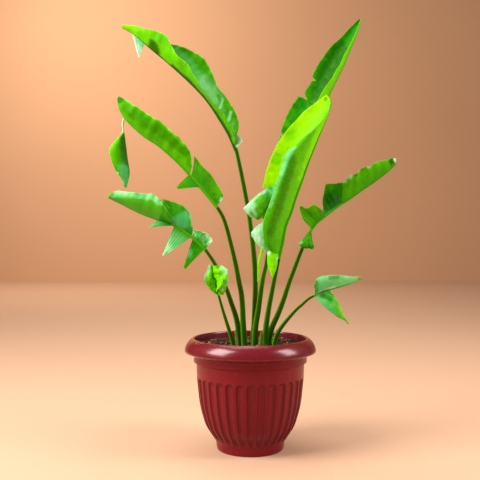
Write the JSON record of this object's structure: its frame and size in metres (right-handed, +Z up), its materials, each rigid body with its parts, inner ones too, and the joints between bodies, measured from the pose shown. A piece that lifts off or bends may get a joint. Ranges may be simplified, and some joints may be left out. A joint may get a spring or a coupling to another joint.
{
  "type": "potted travelers palm",
  "caption": "Potted travelers palm: a fan of torn, folded green leaves on slim arching stems, growing from soil in a round fluted dark red plastic pot with a rolled rim.",
  "frame": {"origin": "centre of the pot's flat underside", "axes": "+Z up along the pot's axis; the fan of leaves spreads along X, with the hanging torn leaf on the -X side; +Y to the back"},
  "size_m": [0.4508, 0.2, 0.6682],
  "materials": {
    "pot_plastic": "gloss",
    "potting_soil": "matte",
    "stem_green": "satin",
    "dry_sheath": "matte",
    "young_blade": "satin",
    "mature_blade": "satin",
    "deep_blade": "satin"
  },
  "bodies": {
    "root": {"pot": "pot_plastic", "soil": "potting_soil", "sheath_1": "dry_sheath", "sheath_2": "dry_sheath", "sheath_3": "dry_sheath", "leaf_1_stem": "stem_green", "leaf_1_blade": "young_blade", "leaf_2_stem": "stem_green", "leaf_2_blade": "mature_blade", "leaf_3_stem": "stem_green", "leaf_3_blade": "mature_blade", "leaf_4_stem": "stem_green", "leaf_4_blade": "young_blade", "leaf_5_stem": "stem_green", "leaf_5_blade": "deep_blade", "leaf_6_stem": "stem_green", "leaf_6_blade": "young_blade", "leaf_7_stem": "stem_green", "leaf_7_blade": "mature_blade", "leaf_8_stem": "stem_green", "leaf_8_blade": "mature_blade"}
  },
  "joints": []
}
